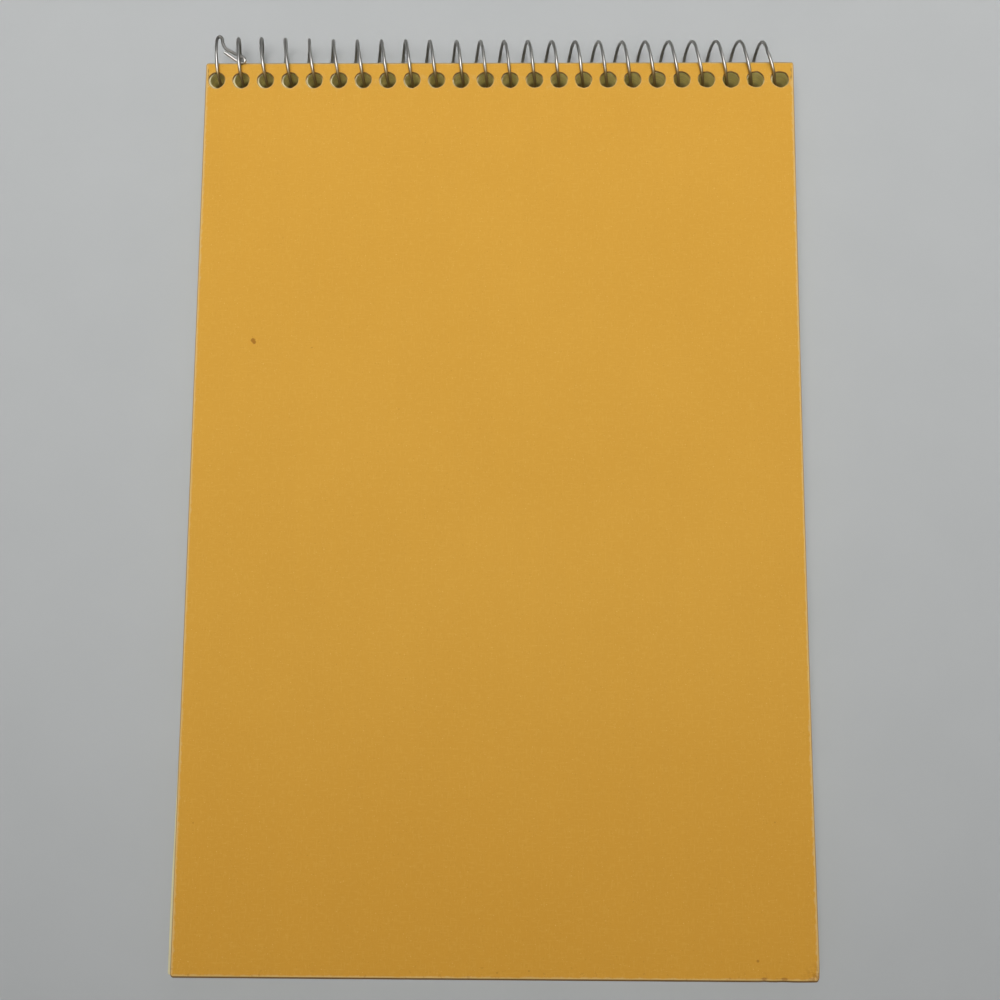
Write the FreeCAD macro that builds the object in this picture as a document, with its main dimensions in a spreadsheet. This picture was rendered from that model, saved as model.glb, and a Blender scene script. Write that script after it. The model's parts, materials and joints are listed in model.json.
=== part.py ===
import FreeCAD, Part
import math
import os

import Sketcher

# A top-bound steno pad: a front cover, a block of paper and a back board, punched with one row of
# round holes and held by a single steel wire that is wound through the holes as a spiral.
# The pad lies face up. It rests on the foot of its board and on the underside of the spiral, which
# is thicker than the pad, so the whole stack leans back by a fraction of a degree.
# X runs along the spiral, +Y from the foot of the pad to the spiral, +Z up from the table.

SIZES = [
    ("pad_width", 152.4),
    ("pad_length", 228.6),
    ("cover_thickness", 0.4),
    ("block_thickness", 8.4),
    ("board_thickness", 0.8),
    ("cover_slip", 0.3),
    ("hole_count", 24),
    ("hole_pitch", 6.35),
    ("hole_diameter", 4.2),
    ("hole_inset", 4.7),
    ("hole_row_shift", -0.3),
    ("wire_diameter", 0.8),
    ("coil_radius", 6.8),
    ("coil_outset", 0.68),
    ("coil_pitch", 6.31),
    ("coil_shift", -0.1),
    ("hook_drop", 1.15),
    ("hook_reach", 6.6),
    ("hook_bend", 0.6),
]

# Expressions for the sizes that follow from the driving ones. The axis is the middle of the spiral,
# measured along and up from the foot of the board's underside.
STACK = "(sizes.cover_thickness + sizes.block_thickness + sizes.board_thickness)"
COIL_REACH = "(sizes.coil_radius + sizes.wire_diameter / 2)"
AXIS_Y = "(sizes.pad_length + sizes.coil_outset)"
AXIS_Z = f"({STACK} / 2)"

# The lean brings the spiral's underside down to the table.
LEAN = f"(asin({COIL_REACH} / hypot({AXIS_Y}; {AXIS_Z})) - atan({AXIS_Z} / {AXIS_Y}))"

# The cover has slipped towards the foot, so its edge reaches furthest forward. The spiral reaches
# furthest back.
COVER_Y = "(-1 * sizes.cover_slip)"
FRONT_Y = f"({COVER_Y} * cos({LEAN}) - {STACK} * sin({LEAN}))"
BACK_Y = f"({AXIS_Y} * cos({LEAN}) - {AXIS_Z} * sin({LEAN}) + {COIL_REACH})"
MIDDLE_Y = f"(({BACK_Y} + {FRONT_Y}) / 2)"


def make_sizes(doc):
    """The spreadsheet of driving dimensions, in millimetres and degrees."""
    sheet = doc.addObject("Spreadsheet::Sheet", "sizes")
    for row, (alias, value) in enumerate(SIZES, start=1):
        sheet.set(f"A{row}", alias)
        sheet.set(f"B{row}", str(value))
        sheet.setAlias(f"B{row}", alias)
    doc.recompute()
    return sheet


def lay_on_stack(part, along, height):
    """Lean a part back with the stack, with its own origin this far along and up the stack."""
    tilt = FreeCAD.Rotation(FreeCAD.Vector(1, 0, 0), 1)
    part.Placement = FreeCAD.Placement(FreeCAD.Vector(0, 0, 0), tilt)
    part.setExpression("Placement.Rotation.Angle", LEAN)
    part.setExpression(
        "Placement.Base.y", f"{along} * cos({LEAN}) - {height} * sin({LEAN}) - {MIDDLE_Y}"
    )
    part.setExpression("Placement.Base.z", f"{along} * sin({LEAN}) + {height} * cos({LEAN})")


def sheet_sketch(body, name):
    """A sketch on the body's base plane, with its origin at the middle of the sheet."""
    sketch = body.newObject("Sketcher::SketchObject", name)
    plane = next(f for f in body.Origin.OriginFeatures if f.Role == "XY_Plane")
    sketch.AttachmentSupport = [(plane, "")]
    sketch.MapMode = "FlatFace"
    sketch.setExpression("AttachmentOffset.Base.y", "sizes.pad_length / 2")
    return sketch


def draw_outline(sketch):
    """A rectangle of the pad's size, centred on the sketch's origin."""
    corners = [(-1, -1), (1, -1), (1, 1), (-1, 1)]
    points = [FreeCAD.Vector(x, y, 0) for x, y in corners]
    for start, end in zip(points, points[1:] + points[:1]):
        sketch.addGeometry(Part.LineSegment(start, end))
    for side, way in enumerate(("Horizontal", "Vertical", "Horizontal", "Vertical")):
        sketch.addConstraint(Sketcher.Constraint(way, side))
        sketch.addConstraint(Sketcher.Constraint("Coincident", side, 2, (side + 1) % 4, 1))
    sketch.addConstraint(Sketcher.Constraint("Symmetric", 0, 1, 2, 1, -1, 1))
    width = sketch.addConstraint(Sketcher.Constraint("DistanceX", 0, 1, 0, 2, 2))
    length = sketch.addConstraint(Sketcher.Constraint("DistanceY", 1, 1, 1, 2, 2))
    sketch.setExpression(f"Constraints[{width}]", "sizes.pad_width")
    sketch.setExpression(f"Constraints[{length}]", "sizes.pad_length")


def draw_first_hole(sketch):
    """The hole at the row's -X end, as a circle."""
    sketch.addGeometry(Part.Circle(FreeCAD.Vector(-1, 1, 0), FreeCAD.Vector(0, 0, 1), 1))
    across = sketch.addConstraint(Sketcher.Constraint("DistanceX", 0, 3, -1, 1, 1))
    up = sketch.addConstraint(Sketcher.Constraint("DistanceY", -1, 1, 0, 3, 1))
    size = sketch.addConstraint(Sketcher.Constraint("Diameter", 0, 1))
    half_row = "(sizes.hole_count - 1) * sizes.hole_pitch / 2"
    sketch.setExpression(f"Constraints[{across}]", f"{half_row} - sizes.hole_row_shift")
    sketch.setExpression(f"Constraints[{up}]", "sizes.pad_length / 2 - sizes.hole_inset")
    sketch.setExpression(f"Constraints[{size}]", "sizes.hole_diameter")


def make_punched_sheet(doc, name, thickness, along, height):
    """A flat sheet or block of the pad's outline with the row of binding holes through it."""
    body = doc.addObject("PartDesign::Body", name)
    outline = sheet_sketch(body, f"{name}_outline")
    draw_outline(outline)
    pad = body.newObject("PartDesign::Pad", f"{name}_pad")
    pad.Profile = outline
    pad.setExpression("Length", thickness)
    hole = sheet_sketch(body, f"{name}_hole")
    draw_first_hole(hole)
    punched = body.newObject("PartDesign::Pocket", f"{name}_punched")
    punched.Profile = hole
    punched.Type = "ThroughAll"
    punched.Reversed = True
    row = body.newObject("PartDesign::LinearPattern", f"{name}_row")
    row.Originals = [punched]
    row.Direction = (hole, ["H_Axis"])
    row.Mode = "Spacing"
    row.setExpression("Offset", "sizes.hole_pitch")
    row.setExpression("Occurrences", "sizes.hole_count")
    body.Tip = row
    lay_on_stack(body, along, height)
    return body


def hook_corners(sheet, mid_x):
    """The corners of the bent-back wire end and the radius of each bend, from the cut end inward.

    The end is folded in under its neighbour loop, so that no point sticks out of the spiral.
    A corner is measured from the spiral's axis: along it, outward from the pad, and up.
    """
    tucked = sheet.coil_radius - sheet.hook_drop
    lower = tucked - sheet.hook_drop / 2
    far_x = mid_x + sheet.hook_reach
    bend = sheet.hook_bend
    cut_end = FreeCAD.Vector(mid_x + 1.4, 1.5, tucked)
    eye = [FreeCAD.Vector(far_x - 0.7, -1.2, tucked), FreeCAD.Vector(far_x, -0.1, tucked)]
    under_loop = FreeCAD.Vector(mid_x + 1.2, 3.4, tucked)
    outermost = [FreeCAD.Vector(mid_x + 0.6, 6.2, lower), FreeCAD.Vector(mid_x - 0.6, 6.2, lower)]
    return [
        (cut_end, 0),
        (eye[0], bend),
        (eye[1], bend),
        (under_loop, 2 * bend),
        (outermost[0], bend),
        (outermost[1], bend),
    ]


def bent_wire(corners):
    """Straight stretches joined by round bends, as (corner, bend radius) pairs from end to end."""
    edges = []
    reached = corners[0][0]
    for (before, _), (corner, bend), (after, _) in zip(corners, corners[1:], corners[2:]):
        back = (before - corner).normalize()
        onward = (after - corner).normalize()
        half_angle = back.getAngle(onward) / 2
        inset = bend / math.tan(half_angle)
        into = corner + back * inset
        out_of = corner + onward * inset
        inward = (back + onward).normalize()
        middle = corner + inward * (bend / math.sin(half_angle) - bend)
        edges.append(Part.makeLine(reached, into))
        edges.append(Part.Arc(into, middle, out_of).toShape())
        reached = out_of
    edges.append(Part.makeLine(reached, corners[-1][0]))
    return edges


def coil_centreline(sheet):
    """The middle of the wire: a hooked end, the spiral, and the same hook at the other end.

    The spiral's axis is the X axis. The wire comes up through each hole on the pad's side, goes
    over the top and down on the outside, and reaches the next hole towards -X. The first loop is
    left at its top and the last one at its foot, half a turn apart, so the hooks are alike.
    """
    radius = sheet.coil_radius
    pitch = sheet.coil_pitch
    turns = sheet.hole_count - 0.5
    helix = Part.makeLongHelix(pitch, turns * pitch, radius, 0, False)
    helix.Placement = FreeCAD.Placement(
        FreeCAD.Vector(turns * pitch / 2, 0, 0),
        FreeCAD.Rotation(
            FreeCAD.Vector(0, 0, -1), FreeCAD.Vector(0, -1, 0), FreeCAD.Vector(-1, 0, 0), "ZXY"
        ),
    )
    top = FreeCAD.Vector(-turns * pitch / 2, 0, radius)
    onward = FreeCAD.Vector(-pitch / math.tau, radius, 0).normalize()
    leaving = top + onward * sheet.hook_bend
    hook = bent_wire(
        hook_corners(sheet, top.x + pitch / 4) + [(leaving, 2 * sheet.hook_bend), (top, 0)]
    )
    far_hook = [edge.copy() for edge in hook]
    for edge in far_hook:
        edge.rotate(FreeCAD.Vector(0, 0, 0), FreeCAD.Vector(0, 1, 0), 180)
    return Part.Wire(Part.__sortEdges__(hook + helix.Edges + far_hook))


def make_coil(doc, sheet):
    """The wire itself, swept round along its centreline."""
    path = doc.addObject("Part::Feature", "coil_centreline")
    path.Shape = coil_centreline(sheet)
    start = path.Shape.OrderedEdges[0]
    end_point = start.valueAt(start.FirstParameter)
    section = doc.addObject("Part::Circle", "wire_section")
    section.setExpression("Radius", "sizes.wire_diameter / 2")
    section.Placement = FreeCAD.Placement(
        end_point,
        FreeCAD.Rotation(FreeCAD.Vector(0, 0, 1), start.tangentAt(start.FirstParameter)),
    )
    coil = doc.addObject("Part::Sweep", "coil")
    coil.Sections = [section]
    coil.Spine = (path, [])
    coil.Solid = True
    coil.Frenet = False
    lay_on_stack(coil, AXIS_Y, AXIS_Z)
    coil.setExpression("Placement.Base.x", "sizes.coil_shift")
    return coil


def check_and_export(doc, parts):
    """Stop on any feature that failed, and write each part's STEP file."""
    for item in doc.Objects:
        if "Invalid" in item.State or "Error" in item.State:
            raise RuntimeError(f"{item.Label} did not compute: {item.State}")
    os.makedirs("parts", exist_ok=True)
    for part in parts:
        if part.Shape.isNull() or not part.Shape.isValid():
            raise RuntimeError(f"{part.Label} has no valid shape")
        part.Shape.exportStep(f"parts/{part.Label}.step")


def main():
    doc = FreeCAD.newDocument("steno_pad")
    sheet = make_sizes(doc)
    board_top = "sizes.board_thickness"
    block_top = "(sizes.board_thickness + sizes.block_thickness)"
    parts = [
        make_punched_sheet(doc, "back_cover", "sizes.board_thickness", "0", "0"),
        make_punched_sheet(doc, "page_block", "sizes.block_thickness", "0", board_top),
        make_punched_sheet(doc, "front_cover", "sizes.cover_thickness", COVER_Y, block_top),
        make_coil(doc, sheet),
    ]
    doc.recompute()
    check_and_export(doc, parts)


main()
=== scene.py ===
import json
import math
import random

import bmesh
import bpy
from mathutils import Euler, Matrix, Vector, noise
from mathutils.geometry import delaunay_2d_cdt


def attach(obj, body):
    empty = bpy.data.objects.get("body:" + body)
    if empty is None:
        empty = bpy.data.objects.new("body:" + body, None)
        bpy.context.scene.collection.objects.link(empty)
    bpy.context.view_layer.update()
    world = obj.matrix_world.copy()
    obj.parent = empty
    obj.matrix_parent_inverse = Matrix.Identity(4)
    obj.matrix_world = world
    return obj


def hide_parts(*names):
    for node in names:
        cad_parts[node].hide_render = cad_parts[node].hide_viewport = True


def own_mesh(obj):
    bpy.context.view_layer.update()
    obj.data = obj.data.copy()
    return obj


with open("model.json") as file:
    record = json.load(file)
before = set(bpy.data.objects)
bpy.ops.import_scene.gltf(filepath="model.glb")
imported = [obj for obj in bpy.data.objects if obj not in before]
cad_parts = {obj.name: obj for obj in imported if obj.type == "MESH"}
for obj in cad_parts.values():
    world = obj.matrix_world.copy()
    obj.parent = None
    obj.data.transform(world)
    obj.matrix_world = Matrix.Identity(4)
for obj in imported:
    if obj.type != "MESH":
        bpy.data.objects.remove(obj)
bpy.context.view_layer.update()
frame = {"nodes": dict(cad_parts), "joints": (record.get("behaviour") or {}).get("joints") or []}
scene = bpy.context.scene
MM = 0.001


# ---- Page block ---------------------------------------------------------------------------------
# About eighty leaves of pale green writing paper, cut and punched as one stack, so that their edges
# lie in fine layers. Only the wire holds them, so the foot of the block has crept to the left.

SHEET_W, SHEET_L = 152.4 * MM, 228.6 * MM
HOLES = 24
HOLE_PITCH, HOLE_INSET, HOLE_RADIUS, ROW_SHIFT = 6.35 * MM, 4.7 * MM, 2.08 * MM, -0.3 * MM
LEAVES = 80
LEAF_CREEP = 0.6 * MM
LINE_GAP, LINE_START = 8.7 * MM, -100 * MM
RULED_TOP, RULED_FOOT = 85 * MM, -107 * MM
PUNCH_LOW = 0.25 * MM  # how far the leaves' row of holes lies below the cover's
PUNCH_DRIFT = Vector((0.37, 0.14)) * MM  # how far the first of them has moved besides


def lie_of(node):
    """A sheet's own frame: origin mid top face, X along the spiral, Y up the sheet, Z out of it."""
    spots = [v.co for v in frame["nodes"][node].data.vertices]
    corner = {
        (x, y): max(spots, key=lambda p: x * p.x + y * p.y + p.z) for x in (-1, 1) for y in (-1, 1)
    }
    middle = sum(corner.values(), Vector()) / 4
    along = (corner[1, -1] - corner[-1, -1]).normalized()
    up_sheet = (corner[-1, 1] - corner[-1, -1]).normalized()
    turn = Matrix((along, up_sheet, along.cross(up_sheet))).transposed()
    return Matrix.Translation(middle) @ turn.to_4x4()


def thickness_of(node):
    top = lie_of(node)
    return -min((top.inverted() @ v.co).z for v in frame["nodes"][node].data.vertices)


def hole_centres():
    first = ROW_SHIFT - (HOLES - 1) / 2 * HOLE_PITCH
    return [Vector((first + i * HOLE_PITCH, SHEET_L / 2 - HOLE_INSET)) for i in range(HOLES)]


def ease(value, low, high):
    t = min(1.0, max(0.0, (value - low) / (high - low)))
    return t * t * (3 - 2 * t)


def trimmed(v):
    """The knife left the right edge of the whole stack a little hollow."""
    u, w = 2 * v.x / SHEET_W, 2 * v.y / SHEET_L
    return v - Vector((0.4 * MM * max(0.0, u) ** 3 * (1 - w * w), 0, 0))


def outline(inset, corner, per_side):
    """The sheet's edge as a closed ring: a rectangle with small round corners, moved inwards."""
    ring = []
    radius = max(corner - inset, 0.02 * MM)
    half = Vector((SHEET_W / 2 - inset - radius, SHEET_L / 2 - inset - radius))
    ways = ((1, -1), (1, 1), (-1, 1), (-1, -1))
    for quarter, (sx, sy) in enumerate(ways):
        centre = Vector((sx * half.x, sy * half.y))
        for step in range(4):
            a = math.radians(90 * (quarter - 1) + 30 * step)
            ring.append(centre + radius * Vector((math.cos(a), math.sin(a))))
        next_x, next_y = ways[(quarter + 1) % 4]
        a = math.radians(90 * quarter)
        onward = Vector((next_x * half.x, next_y * half.y))
        onward += radius * Vector((math.cos(a), math.sin(a)))
        last = ring[-1]
        ring += [last.lerp(onward, i / per_side) for i in range(1, per_side)]
    return ring


def round_hole(centre, radius, segments):
    return [
        centre + radius * Vector((math.cos(a), math.sin(a)))
        for a in (math.tau * i / segments for i in range(segments))
    ]


def encloses(ring, p):
    crossed = False
    for a, b in zip(ring, ring[1:] + ring[:1]):
        if (a.y > p.y) != (b.y > p.y) and p.x < a.x + (b.x - a.x) * (p.y - a.y) / (b.y - a.y):
            crossed = not crossed
    return crossed


def flat_fill(rings, extra):
    """Triangles between an outer ring and its hole rings, through the extra points."""
    points, edges, owner = [], [], []
    for number, ring in enumerate(rings):
        start = len(points)
        points += ring
        owner += [number] * len(ring)
        edges += [(start + i, start + (i + 1) % len(ring)) for i in range(len(ring))]
    points += extra
    owner += [None] * len(extra)
    _, _, faces, origin, _, _ = delaunay_2d_cdt(points, edges, [], 1, 1e-9)
    back = {new: old for new, olds in enumerate(origin) for old in olds}
    kept = []
    for face in faces:
        face = tuple(back[i] for i in face)
        hole = owner[face[0]]
        if hole and all(owner[i] == hole for i in face):
            if encloses(rings[hole], sum((points[i] for i in face), Vector((0, 0))) / 3):
                continue
        kept.append(face)
    return kept


def surface_points(step, clear, wanted=lambda p: True):
    """A staggered grid of points over the sheet, kept clear of its edge and of the holes."""
    centres = hole_centres()
    points = []
    rows, count = int(SHEET_L / step), int(SHEET_W / step)
    for j in range(1, rows):
        y = -SHEET_L / 2 + j * SHEET_L / rows
        for i in range(1, count):
            p = Vector((-SHEET_W / 2 + (i + 0.5 * (j % 2)) * SHEET_W / count, y))
            off_edge = min(SHEET_W / 2 - abs(p.x), SHEET_L / 2 - abs(y)) > clear
            by_holes = y > SHEET_L / 2 - 3 * HOLE_INSET
            if by_holes and any((p - c).length < HOLE_RADIUS + clear for c in centres):
                continue
            if off_edge and wanted(p):
                points.append(p)
    return points


class SheetMesh:
    """A mesh drawn in a sheet's own frame, which keeps each point's place and edge nearness."""

    def __init__(self):
        self.verts, self.faces, self.marks = [], [], {"rim": [], "edge": []}

    def add(self, points, height, rim=0.0, edge=0.0):
        start = len(self.verts)
        self.verts.extend(Vector((p.x, p.y, height)) for p in points)
        self.marks["rim"].extend([rim] * len(points))
        self.marks["edge"].extend([edge] * len(points))
        return list(range(start, start + len(points)))

    def join(self, rings):
        for upper, lower in zip(rings, rings[1:]):
            for i in range(len(upper)):
                j = (i + 1) % len(upper)
                self.faces.append((upper[i], lower[i], lower[j], upper[j]))

    def fill(self, loops, height, extra):
        """Close the face between the loops; extra is pairs of points and their rim nearness."""
        flat = [[self.verts[i].to_2d() for i in loop] for loop in loops]
        tris = flat_fill(flat, [p for points, _ in extra for p in points])
        index = [i for loop in loops for i in loop]
        for points, rim in extra:
            index += self.add(points, height, rim)
        self.faces.extend(tuple(index[i] for i in tri) for tri in tris)

    def piece(self, name, lie, shape, material):
        mesh = bpy.data.meshes.new(name)
        mesh.from_pydata([lie @ shape(v) for v in self.verts], [], self.faces)
        place = mesh.attributes.new("place", "FLOAT_VECTOR", "POINT")
        place.data.foreach_set("vector", [c for v in self.verts for c in v])
        for mark, values in self.marks.items():
            mesh.attributes.new(mark, "FLOAT", "POINT").data.foreach_set("value", values)
        turned = bmesh.new()
        turned.from_mesh(mesh)
        bmesh.ops.recalc_face_normals(turned, faces=turned.faces)
        turned.to_mesh(mesh)
        turned.free()
        mesh.materials.append(material)
        mesh.shade_smooth()
        mesh.set_sharp_from_angle(angle=math.radians(50))
        made = bpy.data.objects.new(name, mesh)
        scene.collection.objects.link(made)
        return made


class Nodes:
    """Short calls for building one node tree."""

    def __init__(self, tree):
        self.tree = tree

    def add(self, kind, **values):
        node = self.tree.nodes.new(kind)
        for key, value in values.items():
            setattr(node, key, value)
        return node

    def link(self, output, node_input):
        self.tree.links.new(output, node_input)

    def put(self, value, node_input):
        if isinstance(value, bpy.types.NodeSocket):
            self.link(value, node_input)
        else:
            node_input.default_value = value

    def maths(self, operation, a, b=0.0, c=0.0, clamp=False):
        node = self.add("ShaderNodeMath", operation=operation, use_clamp=clamp)
        for value, socket in zip((a, b, c), node.inputs):
            self.put(value, socket)
        return node.outputs[0]

    def vector(self, operation, a, b=(0, 0, 0)):
        node = self.add("ShaderNodeVectorMath", operation=operation)
        self.put(a, node.inputs[0])
        self.put(b, node.inputs[1])
        return node.outputs["Value" if operation in ("LENGTH", "DISTANCE") else "Vector"]

    def split(self, vector):
        node = self.add("ShaderNodeSeparateXYZ")
        self.link(vector, node.inputs[0])
        return node.outputs

    def noise(self, vector, scale, detail=2.0, roughness=0.5, stretch=(1, 1, 1)):
        node = self.add("ShaderNodeTexNoise")
        self.link(self.vector("MULTIPLY", vector, stretch), node.inputs["Vector"])
        node.inputs["Scale"].default_value = scale
        node.inputs["Detail"].default_value = detail
        node.inputs["Roughness"].default_value = roughness
        return node.outputs["Fac"]

    def ramp(self, value, low, high, to_low=0.0, to_high=1.0):
        node = self.add("ShaderNodeMapRange", interpolation_type="SMOOTHSTEP")
        names = ("Value", "From Min", "From Max", "To Min", "To Max")
        for v, name in zip((value, low, high, to_low, to_high), names):
            self.put(v, node.inputs[name])
        return node.outputs["Result"]

    def mix(self, factor, a, b):
        node = self.add("ShaderNodeMix", data_type="RGBA")
        self.put(factor, node.inputs["Factor"])
        self.put((*a, 1) if isinstance(a, tuple) else a, node.inputs["A"])
        self.put((*b, 1) if isinstance(b, tuple) else b, node.inputs["B"])
        return node.outputs["Result"]

    def attribute(self, name, output="Fac"):
        return self.add("ShaderNodeAttribute", attribute_name=name).outputs[output]

    def group(self, tree, **values):
        node = self.add("ShaderNodeGroup", node_tree=tree)
        for key, value in values.items():
            self.put(value, node.inputs[key])
        return node.outputs

    def bump(self, height, distance, strength, shader):
        node = self.add("ShaderNodeBump")
        node.inputs["Distance"].default_value = distance
        node.inputs["Strength"].default_value = strength
        self.link(height, node.inputs["Height"])
        self.link(node.outputs[0], shader.inputs["Normal"])


def node_group(name, inputs, outputs):
    tree = bpy.data.node_groups.new(name, "ShaderNodeTree")
    for in_out, sockets in (("INPUT", inputs), ("OUTPUT", outputs)):
        for label, kind in sockets:
            tree.interface.new_socket(label, in_out=in_out, socket_type=f"NodeSocket{kind}")
    n = Nodes(tree)
    return tree, n, n.add("NodeGroupInput").outputs, n.add("NodeGroupOutput").inputs


def material_with(name, **plain):
    """A new material, its Principled shader and the short calls for its nodes."""
    made = bpy.data.materials.new(name)
    made.use_nodes = True
    shader = made.node_tree.nodes["Principled BSDF"]
    for key, value in plain.items():
        shader.inputs[key.replace("_", " ")].default_value = value
    return made, shader, Nodes(made.node_tree)


def make_fibre_group():
    """Matted fibres of paper and board: slow cloudiness, fibres, pits, and a height for bump."""
    tree, n, given, out = node_group(
        "paper_fibre",
        [("Place", "Vector"), ("Coarseness", "Float")],
        [("Cloud", "Float"), ("Fibre", "Float"), ("Pits", "Float"), ("Height", "Float")],
    )
    finer = n.maths("DIVIDE", 1.0, given["Coarseness"])
    scaled = n.add("ShaderNodeVectorMath", operation="SCALE")
    n.link(given["Place"], scaled.inputs[0])
    n.link(finer, scaled.inputs["Scale"])
    spot = scaled.outputs[0]
    across = n.noise(spot, 2400, detail=2, stretch=(0.22, 1, 1))
    along = n.noise(spot, 2400, detail=2, stretch=(1, 0.22, 1))
    fibre = n.maths("MAXIMUM", across, along)
    pits = n.noise(spot, 3000, detail=1, roughness=0.6)
    n.link(n.noise(spot, 28, detail=4, roughness=0.6), out["Cloud"])
    n.link(fibre, out["Fibre"])
    n.link(pits, out["Pits"])
    n.link(n.maths("MULTIPLY_ADD", pits, 0.6, fibre), out["Height"])
    return tree


paper_fibre = make_fibre_group()


def paper_material():
    """Uncoated pale green paper, ruled with fine green lines and a line down the middle."""
    made, shader, n = material_with("writing_paper", Roughness=0.85)
    place = n.attribute("place", "Vector")
    at = n.split(place)
    on_edge = n.attribute("edge")
    fibre = n.group(paper_fibre, Place=place, Coarseness=1.0)
    tone = n.mix(n.ramp(fibre["Cloud"], 0.3, 0.7), (0.66, 0.59, 0.345), (0.69, 0.62, 0.37))
    tone = n.mix(n.ramp(fibre["Fibre"], 0.5, 0.75, 0.0, 0.3), tone, (0.59, 0.53, 0.30))

    soft_end = 0.5 * MM
    from_line = n.maths("PINGPONG", n.maths("SUBTRACT", at["Y"], LINE_START), LINE_GAP / 2)
    written = n.maths(
        "MULTIPLY", n.ramp(at["Y"], RULED_FOOT - soft_end, RULED_FOOT),
        n.ramp(at["Y"], RULED_TOP + soft_end, RULED_TOP),
    )
    line = n.maths("MULTIPLY", n.ramp(from_line, 0.16 * MM, 0.08 * MM), written)
    clear = n.ramp(n.maths("ABSOLUTE", at["X"]), SHEET_W / 2 - 1.5 * MM, SHEET_W / 2 - 1.7 * MM)
    line = n.maths("MULTIPLY", line, clear)
    from_middle = n.maths("ABSOLUTE", at["X"])
    middle = n.maths("MULTIPLY", n.ramp(from_middle, 0.22 * MM, 0.14 * MM), written)
    on_face = n.maths("SUBTRACT", 1.0, on_edge, clamp=True)
    inked = n.ramp(fibre["Pits"], 0.3, 0.5, 0.45, 0.85)
    inked = n.maths("MULTIPLY", on_face, inked)
    tone = n.mix(n.maths("MULTIPLY", line, inked), tone, (0.22, 0.43, 0.30))
    tone = n.mix(n.maths("MULTIPLY", middle, inked), tone, (0.50, 0.20, 0.14))

    # Painted shade: the top sheet's strip along the spiral edge is darkened, where the cover's edge
    # shades it.
    top_edge_shade = n.ramp(at["Y"], SHEET_L / 2 - 0.6 * MM, SHEET_L / 2 - 0.2 * MM, 0.0, 0.8)
    tone = n.mix(n.maths("MULTIPLY", top_edge_shade, on_face), tone, (0.33, 0.27, 0.15))
    leaf = n.noise(place, 9000, detail=1, stretch=(0.004, 0.004, 1))
    tone = n.mix(n.maths("MULTIPLY", on_edge, 0.75), tone, (0.70, 0.64, 0.40))
    # Painted light: the walls of the holes are a brighter, yellower copy of the paper, standing in for
    # light through the leaves and light thrown back by the card.
    tone = n.mix(n.attribute("rim"), tone, (0.80, 0.68, 0.20))
    # Painted shade: deeper down the holes the walls turn dark brown.
    deep = n.maths("MULTIPLY", n.attribute("rim"), n.ramp(at["Z"], -4.5 * MM, -7.5 * MM, 0.0, 0.8))
    tone = n.mix(deep, tone, (0.22, 0.11, 0.012))
    shade = n.maths("MULTIPLY", n.ramp(leaf, 0.35, 0.65, 0.0, 0.4), on_edge)
    tone = n.mix(shade, tone, (0.36, 0.31, 0.15))
    n.link(tone, shader.inputs["Base Color"])
    n.bump(fibre["Height"], 0.02 * MM, 0.4, shader)
    return made


def page_block():
    lie, thick = lie_of("page_block"), thickness_of("page_block")
    groove, worn = 0.05 * MM, 0.02 * MM
    straight = Vector((0, 0))
    rnd = random.Random(7)
    drift, offsets = Vector((0, 0)), []
    for i in range(LEAVES):
        held = min(1.0, i / 4, (LEAVES - 1 - i) / 4)
        drift = 0.9 * drift + Vector((rnd.gauss(0, 0.03), rnd.gauss(0, 0.03))) * MM
        offsets.append((drift + Vector((rnd.gauss(0, 0.03), rnd.gauss(0, 0.03))) * MM) * held)
    block = SheetMesh()

    def wall(ring_at, strata, rim=0.0):
        """Rings down a cut wall, a step and a groove for each layer; gives the first and last."""
        deep = thick / strata
        rings = [block.add(ring_at(worn, straight), 0.0)]
        for s in range(strata):
            off = offsets[int(s * LEAVES / strata)]
            for part in (0.2, 0.8):
                rings.append(block.add(ring_at(0.0, off), -(s + part) * deep, rim, 1.0))
            if s < strata - 1:
                mid = (off + offsets[int((s + 1) * LEAVES / strata)]) / 2
                rings.append(block.add(ring_at(groove, mid), -(s + 1) * deep, rim, 1.0))
        rings.append(block.add(ring_at(worn, straight), -thick))
        block.join(rings)
        return rings[0], rings[-1]

    ends = [wall(lambda inset, off: [p + off for p in outline(inset, 0.4 * MM, 22)], LEAVES)]
    for i, centre in enumerate(hole_centres()):
        loose = max(0.0, 1 - i / 16)
        spot = centre + PUNCH_DRIFT * loose - Vector((0, PUNCH_LOW))
        ends.append(
            wall(
                lambda inset, off, c=spot: round_hole(c + off / 2, HOLE_RADIUS + inset, 24),
                LEAVES * 2 // 5, 1.0,
            )
        )
    flat = surface_points(6 * MM, 2 * MM)
    block.fill([top for top, _ in ends], 0.0, [(flat, 0.0)])
    block.fill([foot for _, foot in ends], -thick, [(flat, 0.0)])

    def crept(v):
        foot = 1 - ease(v.y, -104 * MM, -50 * MM)
        return trimmed(v) - Vector((LEAF_CREEP * foot * (1 - ease(-v.z, 0.5 * thick, thick)), 0, 0))

    piece = block.piece("leaves", lie, crept, paper_material())
    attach(piece, "pad")
    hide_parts("page_block")


page_block()


# ---- Back cover ---------------------------------------------------------------------------------
# One sheet of grey-brown pasteboard, pressed from waste fibre and stiff enough to write on. The
# knife leaves its edges square and a little furry. It hangs on the wire like the leaves, and like a
# nut on a thread it moves along the wire as it turns.

COIL_PITCH = 6.31 * MM


def make_rub_group():
    """Cut edges of card: the colour wears off in a fine broken line along the rim."""
    tree, n, given, out = node_group(
        "edge_rub",
        [("Place", "Vector"), ("Rim", "Float"), ("Breadth", "Float")],
        [("Mask", "Float")],
    )
    broken = n.noise(given["Place"], 420, detail=3, roughness=0.65)
    reach = n.maths("SUBTRACT", n.maths("MULTIPLY_ADD", broken, 0.7, 0.45), given["Breadth"])
    low = n.maths("SUBTRACT", reach, 0.15)
    high = n.maths("ADD", reach, 0.15)
    n.link(n.ramp(given["Rim"], low, high), out["Mask"])
    return tree


edge_rub = make_rub_group()


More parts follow.
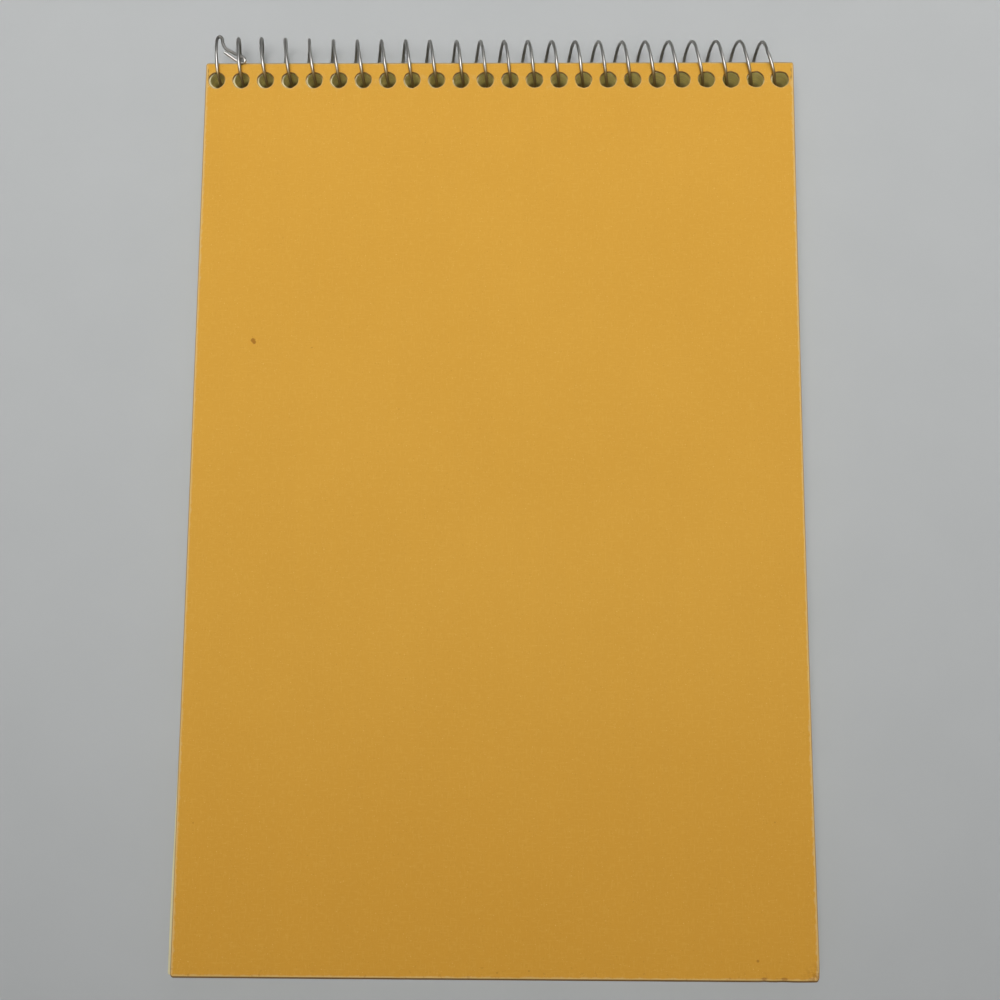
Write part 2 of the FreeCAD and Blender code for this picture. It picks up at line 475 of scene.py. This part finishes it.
def board_material():
    made, shader, n = material_with("pasteboard", Roughness=0.9)
    place = n.attribute("place", "Vector")
    fibre = n.group(paper_fibre, Place=place, Coarseness=2.2)
    tone = n.mix(n.ramp(fibre["Cloud"], 0.3, 0.7), (0.30, 0.25, 0.18), (0.36, 0.31, 0.23))
    tone = n.mix(n.ramp(fibre["Fibre"], 0.55, 0.8, 0.0, 0.6), tone, (0.46, 0.41, 0.32))
    fleck = n.noise(place, 900, detail=3, roughness=0.7)
    tone = n.mix(n.ramp(fleck, 0.66, 0.74, 0.0, 0.7), tone, (0.13, 0.10, 0.08))
    rub = n.group(edge_rub, Place=place, Rim=n.attribute("rim"), Breadth=0.1)["Mask"]
    tone = n.mix(n.maths("MULTIPLY", rub, 0.5), tone, (0.50, 0.45, 0.36))
    n.link(tone, shader.inputs["Base Color"])
    n.bump(fibre["Height"], 0.06 * MM, 0.6, shader)
    return made


def punched_card(thick, corner, fillet, step, hole_rims, finer):
    """A flat punched card with softened edges, its mesh closer where the function finer says so.

    Each of hole_rims gives a hole's ring for an inset, as outline does for the card's own edge.
    """
    card = SheetMesh()
    down = [(fillet, 0.0), (0.3 * fillet, 0.3 * fillet), (0.0, fillet)]
    profile = down + [(inset, thick - deep) for inset, deep in reversed(down)]
    ends = []
    for ring_at in [lambda inset: outline(inset, corner, 110)] + hole_rims:
        rings = [card.add(ring_at(inset), -deep, rim=1.0) for inset, deep in profile]
        card.join(rings)
        ends.append((rings[0], rings[-1]))
    near = [(ring_at(0.3 * MM), 0.35) for ring_at in hole_rims]
    for inset, rim in ((0.3 * MM, 0.7), (0.7 * MM, 0.35), (1.4 * MM, 0.1)):
        free = [
            p for p in outline(inset, corner, 110)
            if all((p - c).length > HOLE_RADIUS + 0.45 * MM for c in hole_centres())
        ]
        near.append((free, rim))
    near.append((surface_points(step, 2.0 * MM), 0.0))
    near.append((surface_points(0.8 * MM, 1.7 * MM, finer), 0.0))
    card.fill([top for top, _ in ends], 0.0, near)
    card.fill([foot for _, foot in ends], -thick, near)
    return card


def screw_along(piece):
    """Give the piece a mesh of its own; it is not moved along the wire.
    """
    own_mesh(piece)


def back_cover():
    worn = HOLE_RADIUS + 0.1 * MM
    rims = [lambda inset, c=c: round_hole(c, worn + inset, 32) for c in hole_centres()]
    board = punched_card(
        thickness_of("back_cover"), 0.5 * MM, 0.12 * MM, 8 * MM, rims, lambda p: False
    )
    piece = board.piece("back_board", lie_of("back_cover"), trimmed, board_material())
    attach(piece, "back_cover")
    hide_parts("back_cover")
    screw_along(piece)


back_cover()


# ---- Front cover --------------------------------------------------------------------------------
# One sheet of goldenrod card, uncoated and dyed right through. It has slipped a little towards the
# foot. Handling has paled its edges, crushed its lower right corner and left a few dark specks.

CRUSHED = Vector((76.2, -114.3)) * MM
SPECKS = (
    # Placed by a program's measure of one sheet, apart from the first two: across and up from
    # the middle, in mm. Then the radius in mm and how dark it is.
    (-61.6, 40.0, 0.70, 0.75),
    (-61.3, 39.5, 0.60, 0.75),
    (61.8, -109.9, 0.42, 0.55),
    (-46.7, 38.1, 0.22, 0.45),
    (-24.5, 22.3, 0.20, 0.30),
    (66.7, -78.1, 0.24, 0.35),
    (-72.1, -79.0, 0.24, 0.35),
    (0.7, -113.0, 0.26, 0.40),
    (8.2, -112.5, 0.26, 0.40),
)
NICKS = (
    # across from the middle of the foot edge, and half the breadth, in mm
    (63.2, 0.9),
    (67.9, 1.1),
)
TORN_HOLES = {
    # holes counted from 0 at the left: which way each is pulled, in degrees, how far in mm, and
    # how narrow the pull is
    18: (105, 0.3, 24),
    22: (150, 0.15, 6),
    23: (153, 0.32, 6),
}


def cover_shape(v):
    """The card's unevenness: slow waves, nicks in its foot edge and the crushed corner."""
    u, w = 2 * v.x / SHEET_W, 2 * v.y / SHEET_L
    lift = 0.05 * (1 + math.sin(2.1 * u + 1.3 * w) * math.cos(1.7 * w - 0.6 * u))
    shift = Vector((0, 0, 0))
    from_foot = (v.y + SHEET_L / 2) / MM
    rolled = max(0.0, 1 - from_foot / 0.5) ** 2
    shift.y -= 0.4 * rolled
    lift -= 0.28 * rolled
    near = max(0.0, 1 - (v.to_2d() - CRUSHED).length / (5 * MM))
    if near > 0:
        crease = noise.noise(Vector((v.x * 900, v.y * 900, 3.0)))
        shift += Vector((-0.20, 0.10, 0)) * near ** 3
        lift += near * near * 0.28 * crease - 0.10 * near ** 2
    for across, half in NICKS:
        far = math.hypot((v.x / MM - across) / half, (v.y + SHEET_L / 2) / MM / 0.7)
        if far < 1:
            shift.y += 0.08 * (1 - far * far)
            lift -= 0.10 * (1 - far * far)
    return trimmed(v) + (shift + Vector((0, 0, lift))) * MM


def card_material():
    """Goldenrod card: fibres, specks and edges rubbed pale, with painted shade: darker towards the foot,
    a dark line along the rims and dark crescents above the holes.
    """
    made, shader, n = material_with("goldenrod_card", Roughness=0.8, Specular_IOR_Level=0.3)
    place = n.attribute("place", "Vector")
    at = n.split(place)
    fibre = n.group(paper_fibre, Place=place, Coarseness=1.1)
    tone = n.mix(n.ramp(fibre["Cloud"], 0.3, 0.7), (0.615, 0.317, 0.034), (0.630, 0.328, 0.037))
    # Painted shade: the card turns darker and deeper in colour towards the foot.
    tone = n.mix(n.ramp(at["Y"], -20 * MM, -110 * MM, 0.0, 0.6), tone, (0.60, 0.285, 0.022))
    grain = n.noise(place, 260, detail=3, stretch=(1, 0.06, 1))
    tone = n.mix(n.ramp(grain, 0.35, 0.7, 0.0, 0.06), tone, (0.54, 0.275, 0.034))
    tone = n.mix(n.ramp(fibre["Fibre"], 0.52, 0.74, 0.0, 0.22), tone, (0.72, 0.42, 0.08))
    tone = n.mix(n.ramp(fibre["Pits"], 0.68, 0.78, 0.0, 0.55), tone, (0.80, 0.53, 0.17))
    tone = n.mix(n.ramp(fibre["Pits"], 0.32, 0.22, 0.0, 0.55), tone, (0.40, 0.19, 0.016))

    to_corner = n.vector("DISTANCE", place, (CRUSHED.x, CRUSHED.y, 0))
    rim = n.attribute("rim")
    breadth = n.ramp(to_corner, 4 * MM, 1 * MM, 0.30, 0.5)
    by_spiral = n.ramp(at["Y"], SHEET_L / 2 - 1.0 * MM, SHEET_L / 2 - 0.4 * MM, 0.0, 0.25)
    by_foot = n.ramp(at["Y"], 1.0 * MM - SHEET_L / 2, 0.5 * MM - SHEET_L / 2, 0.0, 0.12)
    breadth = n.maths("SUBTRACT", breadth, n.maths("MAXIMUM", by_spiral, by_foot))
    rub = n.group(edge_rub, Place=place, Rim=rim, Breadth=breadth)["Mask"]
    tone = n.mix(n.maths("MULTIPLY", rub, 0.7), tone, (0.64, 0.44, 0.18))

    rough_edge = n.noise(place, 2600, detail=2)
    face = n.ramp(at["Z"], -0.22 * MM, -0.12 * MM)
    dark = 0.0
    for across, up, radius, depth in SPECKS:
        away = n.vector("DISTANCE", place, (across * MM, up * MM, 0))
        away = n.maths("MULTIPLY_ADD", rough_edge, 0.5 * radius * MM, away)
        spot = n.ramp(away, 0.75 * radius * MM, 1.3 * radius * MM, depth, 0.0)
        dark = n.maths("MAXIMUM", dark, spot)
    for across, half in NICKS:
        off = n.vector("SUBTRACT", place, (across * MM, -SHEET_L / 2 + 0.45 * MM, 0))
        off = n.vector("LENGTH", n.vector("MULTIPLY", off, (1 / half, 2.6, 1)))
        off = n.maths("MULTIPLY_ADD", rough_edge, 0.5 * MM, off)
        dark = n.maths("MAXIMUM", dark, n.ramp(off, 0.7 * MM, 1.25 * MM, 0.6, 0.0))
    by_thumb = n.ramp(at["Y"], -104 * MM, -113.5 * MM)
    handled = n.maths("MULTIPLY", by_thumb, n.noise(place, 900, detail=3))
    dark = n.maths("MAXIMUM", dark, n.ramp(handled, 0.60, 0.74, 0.0, 0.3))
    creases = n.noise(place, 1100, detail=3, roughness=0.6)
    worn = n.maths("MULTIPLY", n.ramp(to_corner, 5 * MM, 1.2 * MM), n.ramp(creases, 0.42, 0.6))
    dark = n.maths("MULTIPLY", n.maths("MAXIMUM", dark, n.maths("MULTIPLY", worn, 0.5)), face)
    tone = n.mix(dark, tone, (0.27, 0.085, 0.0))

    # Painted shade: a dark line along the rims of the card and of its holes, strongest along the foot
    # edge.
    at_foot = n.ramp(n.maths("ADD", at["Y"], SHEET_L / 2), 0.5 * MM, 0.3 * MM, 0.5, 0.95)
    rim_shade = n.maths("MULTIPLY", n.ramp(rim, 0.78, 0.95), at_foot)
    row, side = SHEET_L / 2 - HOLE_INSET, SHEET_W / 2
    # Painted shade: dark crescents along the upper side of the holes.
    hole_top_shade = n.ramp(at["Y"], row - 0.6 * MM, row + 1.2 * MM, 0.0, 0.9)
    hole_top_shade = n.maths("MULTIPLY", hole_top_shade, n.ramp(at["Y"], row + 3.4 * MM, row + 3.0 * MM))
    off_side = n.ramp(n.maths("ABSOLUTE", at["X"]), side - 0.45 * MM, side - 0.65 * MM)
    hole_top_shade = n.maths("MULTIPLY", hole_top_shade, off_side)
    rim_shade = n.maths("MAXIMUM", rim_shade, n.maths("MULTIPLY", hole_top_shade, n.ramp(rim, 0.36, 0.55)))
    tone = n.mix(rim_shade, tone, (0.12, 0.055, 0.008))
    n.link(tone, shader.inputs["Base Color"])
    n.bump(fibre["Height"], 0.025 * MM, 0.5, shader)
    return made


def front_cover():
    rnd = random.Random(24)
    rims = []
    for i, centre in enumerate(hole_centres()):
        waves = [(k, rnd.uniform(0.01, 0.035) * MM, rnd.uniform(0, math.tau)) for k in (2, 3, 5, 8)]

        def ring_at(inset, c=centre, waves=waves, torn=TORN_HOLES.get(i)):
            ring = []
            for s in range(48):
                a = math.tau * s / 48
                fray = sum(size * math.sin(k * a + turn) for k, size, turn in waves)
                if torn:
                    towards, depth, narrow = torn
                    fray += depth * MM * max(0.0, math.cos(a - math.radians(towards))) ** narrow
                ring.append(c + (HOLE_RADIUS + fray + inset) * Vector((math.cos(a), math.sin(a))))
            return ring

        rims.append(ring_at)
    card = punched_card(
        thickness_of("front_cover"), 0.6 * MM, 0.09 * MM, 4 * MM, rims,
        lambda p: (p - CRUSHED).length < 9 * MM,
    )
    piece = card.piece("cover_card", lie_of("front_cover"), cover_shape, card_material())
    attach(piece, "front_cover")
    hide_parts("front_cover")
    screw_along(piece)


front_cover()


# ---- Spiral -------------------------------------------------------------------------------------
# One length of drawn steel wire, wound as a right-handed spiral and screwed in through the holes.
# Both ends are bent back under the next loop, so that it can't work its way out.

WIRE_RADIUS = 0.4 * MM
COIL_RADIUS = 6.8 * MM
COIL_SHIFT = -0.1 * MM
PER_TURN = 48
LOOPS = (
    # Measured loop by loop on one pad by a program, then rounded: not chosen by eye. The loop,
    # counted from the left; how far it has slid to the right at its foot behind the pad, at its
    # top and on its way into the hole; and how far its outer side bulges, all in mm
    (1, 1.10, 1.10, 0.60, 0.60),
    (2, 0.85, 0.50, 0.20, 0.95),
    (3, 0.60, 0.25, 0.17, 0.95),
    (6, 0.35, 0.32, 0.30, 0.20),
    (10, 0.40, 0.40, 0.28, 0.00),
    (11, 1.15, 1.10, 0.88, -0.10),
    (15, 0.67, 0.67, 0.50, -0.25),
    (18, 0.05, 0.02, 0.10, -0.50),
    (20, -0.35, -0.45, -0.10, -0.40),
    (23, -0.75, -0.90, -0.30, -0.30),
    (24, -0.90, -1.45, -0.50, -0.65),
)


def between(loop):
    """The figures of LOOPS at any loop, drawn straight between the ones it names."""
    for (n, *low), (m, *high) in zip(LOOPS, LOOPS[1:]):
        if loop <= m:
            part = (loop - n) / (m - n)
            return [(a + (b - a) * part) * MM for a, b in zip(low, high)]


def slid(turn):
    """How far the wire has slid along the spiral, and outwards, this many turns from its start."""
    loop = math.floor(turn + 0.5) + 1
    foot, top, hole, bulge = between(min(max(loop, 1), HOLES))
    part = turn + 1 - loop
    if part < 0:
        along = (foot + (top - foot) * ease(part, -0.35, -0.1)) * ease(part, -0.5, -0.38)
    elif part < 0.125:
        along = top + (hole - top) * ease(part, -0.05, 0.125)
    else:
        along = hole * (1 - 0.8 * ease(part, 0.125, 0.3)) * (1 - ease(part, 0.3, 0.5))
    return along, bulge * max(0.0, -math.sin(math.tau * part)) ** 2


def coil_line():
    """The middle of the wire in the spiral's own frame: X along it, Y away from the pad, Z up."""
    turns = HOLES - 0.5
    top_x = -turns / 2 * COIL_PITCH
    first_hole = top_x + COIL_PITCH / 4
    tuck = COIL_RADIUS - 1.05 * MM
    bends = [
        (1.4, 1.5, 0.5), (2.9, 0.5, 0.2), (4.4, -0.45, -0.1), (5.8, -1.1, -0.2), (6.75, -0.8, 0.1),
        (6.3, 0.1, 0.25), (4.4, 1.15, 0.0), (2.9, 2.0, -0.2), (1.5, 2.9, -0.3), (0.75, 4.25, -0.3),
        (0.45, 5.65, -0.3), (-0.3, 6.2, -0.3), (-0.75, 5.3, 0.0), (-0.75, 3.4, 0.65),
        (-0.6, 1.0, 1.0),
    ]
    hook = [Vector((first_hole + x * MM, y * MM, tuck + z * MM)) for x, y, z in bends]

    def on_helix(turn):
        a = math.tau * turn
        along, out = slid(turn)
        across = top_x + COIL_PITCH * turn + along
        return Vector((across, out - COIL_RADIUS * math.sin(a), COIL_RADIUS * math.cos(a)))

    join = 1 / 12
    rough = hook + [on_helix(join + i / PER_TURN) for i in range(3)]
    curve = []
    for i in range(len(hook)):
        p0, p1, p2, p3 = (rough[max(0, i + k)] for k in (-1, 0, 1, 2))
        for s in range(8):
            t = s / 8
            curve.append(
                0.5 * ((2 * p1) + (p2 - p0) * t + (2 * p0 - 5 * p1 + 4 * p2 - p3) * t * t
                       + (3 * p1 - p0 - 3 * p2 + p3) * t ** 3)
            )
    count = round((turns - 2 * join) * PER_TURN)
    spiral = [on_helix(join + i / PER_TURN) for i in range(count + 1)]
    ending = spiral[-1].x + spiral[0].x
    far = [Vector((ending - p.x, min(p.y, 2.5 * MM + 0.15 * p.y), -p.z)) for p in reversed(curve)]
    return curve + spiral[:-1] + far


def wire_mesh(name, line, lie, sides):
    """A round wire along the line, with its cut ends closed.

    It keeps each point's place along and round the wire, and its place in the line's own frame.
    """
    verts, faces, place, from_axis = [], [], [], []
    side = (line[1] - line[0]).orthogonal().normalized()
    last = len(line) - 1
    run = 0.0
    for i, p in enumerate(line):
        now = (line[min(i + 1, last)] - line[max(i - 1, 0)]).normalized()
        side = (side - now * side.dot(now)).normalized()
        other = now.cross(side)
        run += (p - line[max(i - 1, 0)]).length
        for k in range(sides):
            a = math.tau * k / sides
            verts.append(p + WIRE_RADIUS * (math.cos(a) * side + math.sin(a) * other))
            place.append((run, math.cos(a) * WIRE_RADIUS, math.sin(a) * WIRE_RADIUS))
            from_axis.append(tuple(p))
    for a in range(0, last * sides, sides):
        for k in range(sides):
            m = (k + 1) % sides
            faces.append((a + k, a + m, a + sides + m, a + sides + k))
    faces.append(tuple(reversed(range(sides))))
    faces.append(tuple(range(last * sides, (last + 1) * sides)))
    mesh = bpy.data.meshes.new(name)
    mesh.from_pydata([lie @ v for v in verts], [], faces)
    for label, spots in (("place", place), ("from_axis", from_axis)):
        kept = mesh.attributes.new(label, "FLOAT_VECTOR", "POINT")
        kept.data.foreach_set("vector", [c for spot in spots for c in spot])
    mesh.shade_smooth()
    mesh.set_sharp_from_angle(angle=math.radians(50))
    return mesh


def wire_material():
    """Bare steel with streaks and blotches; painted shade darkens the outer side of the loops, and a
    painted reflection of the card browns the wire near the holes.
    """
    made, shader, n = material_with("steel_wire", Metallic=1.0)
    place = n.attribute("place", "Vector")
    streak = n.noise(place, 5000, detail=2, stretch=(0.03, 1, 1))
    blotch = n.noise(place, 180, detail=3)
    tone = n.mix(n.ramp(streak, 0.35, 0.65), (0.41, 0.40, 0.375), (0.52, 0.51, 0.48))
    tone = n.mix(n.ramp(blotch, 0.5, 0.75, 0.0, 0.5), tone, (0.31, 0.29, 0.255))
    beyond = n.split(n.attribute("from_axis", "Vector"))["Y"]
    # Painted shade: the outer side of the loops, away from the pad, is darkened.
    tone = n.mix(n.ramp(beyond, 2 * MM, 5 * MM, 0.0, 0.5), tone, (0.17, 0.16, 0.14))
    # Painted reflection: towards the pad the wire turns brown, standing in for the card reflected in it.
    tone = n.mix(n.ramp(beyond, -1.8 * MM, -4.2 * MM, 0.0, 0.85), tone, (0.40, 0.28, 0.09))
    n.link(tone, shader.inputs["Base Color"])
    n.link(n.maths("MULTIPLY_ADD", blotch, 0.2, 0.31), shader.inputs["Roughness"])
    n.bump(streak, 0.01 * MM, 0.4, shader)
    return made


def spiral():
    axis = Vector(frame["joints"][0]["pos_m"])
    axis.x = COIL_SHIFT
    lie = Matrix.Translation(axis) @ lie_of("page_block").to_3x3().to_4x4()
    mesh = wire_mesh("wire_spiral", coil_line(), lie, 16)
    mesh.materials.append(wire_material())
    piece = bpy.data.objects.new("wire_spiral", mesh)
    scene.collection.objects.link(piece)
    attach(piece, "pad")
    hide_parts("coil")


spiral()


# ---- Floor, light and camera --------------------------------------------------------------------
# A plain pale table top. A soft lamp with a honeycomb hangs over the spiral and aims just past it,
# which leaves the foot of the pad a little dimmer, and a weak lamp fills in from beyond. A ring of
# shielded lamps lights the rest of the table top but not the pad.


def stage():
    mesh = bpy.data.meshes.new("table_top")
    reach = 3.0
    corners = [(-reach, -reach, 0), (reach, -reach, 0), (reach, reach, 0), (-reach, reach, 0)]
    mesh.from_pydata(corners, [], [(0, 1, 2, 3)])
    made, shader, n = material_with("table_finish", Roughness=0.7)
    coord = n.add("ShaderNodeTexCoord").outputs["Object"]
    tone = n.mix(n.noise(coord, 40, detail=4), (0.41, 0.42, 0.42), (0.44, 0.45, 0.45))
    n.link(tone, shader.inputs["Base Color"])
    mesh.materials.append(made)
    floor = bpy.data.objects.new("table_top", mesh)
    scene.collection.objects.link(floor)


def lamp(name, place, aim, size, power, spread=180):
    light = bpy.data.lights.new(name, "AREA")
    light.shape = "DISK"
    light.size = size
    light.energy = power
    light.spread = math.radians(spread)
    holder = bpy.data.objects.new(name, light)
    holder.location = place
    holder.rotation_euler = (Vector(aim) - Vector(place)).to_track_quat("-Z", "Y").to_euler()
    scene.collection.objects.link(holder)


def camera():
    """A camera almost straight above the pad; its lens, and its place and turn on the card, are a fit."""
    eye = bpy.data.cameras.new("camera")
    eye.sensor_width = 36
    eye.lens = 52.74
    eye.clip_start = 0.01
    holder = bpy.data.objects.new("camera", eye)
    turn = Euler([math.radians(a) for a in (9.34, 0.86, 0.29)], "XYZ").to_matrix().to_4x4()
    place = Matrix.Translation(Vector((6.5, -59.3, 356.8)) * MM)
    holder.matrix_world = lie_of("front_cover") @ place @ turn
    scene.collection.objects.link(holder)
    scene.camera = holder


stage()
lamp("high_lamp", (-0.02, 0.12, 0.8), aim=(0, 0.26, 0), size=0.9, power=1.92, spread=50)
lamp("far_lamp", (0.3, 1.0, 1.0), aim=(0, 0, 0), size=1.0, power=1)
ring_lamps = 8
for i in range(ring_lamps):
    a = math.tau * i / ring_lamps
    out = Vector((math.cos(a), math.sin(a), 0))
    over = 0.75 * out + Vector((0, 0, 1.2))
    lamp(f"ring_lamp_{i}", over, aim=1.2 * out, size=0.6, power=2.6, spread=90)
world = bpy.data.worlds.new("room")
world.use_nodes = True
world.node_tree.nodes["Background"].inputs["Color"].default_value = (0.95, 0.97, 1.0, 1)
world.node_tree.nodes["Background"].inputs["Strength"].default_value = 0.12
scene.world = world
camera()
scene.view_settings.view_transform = "Standard"
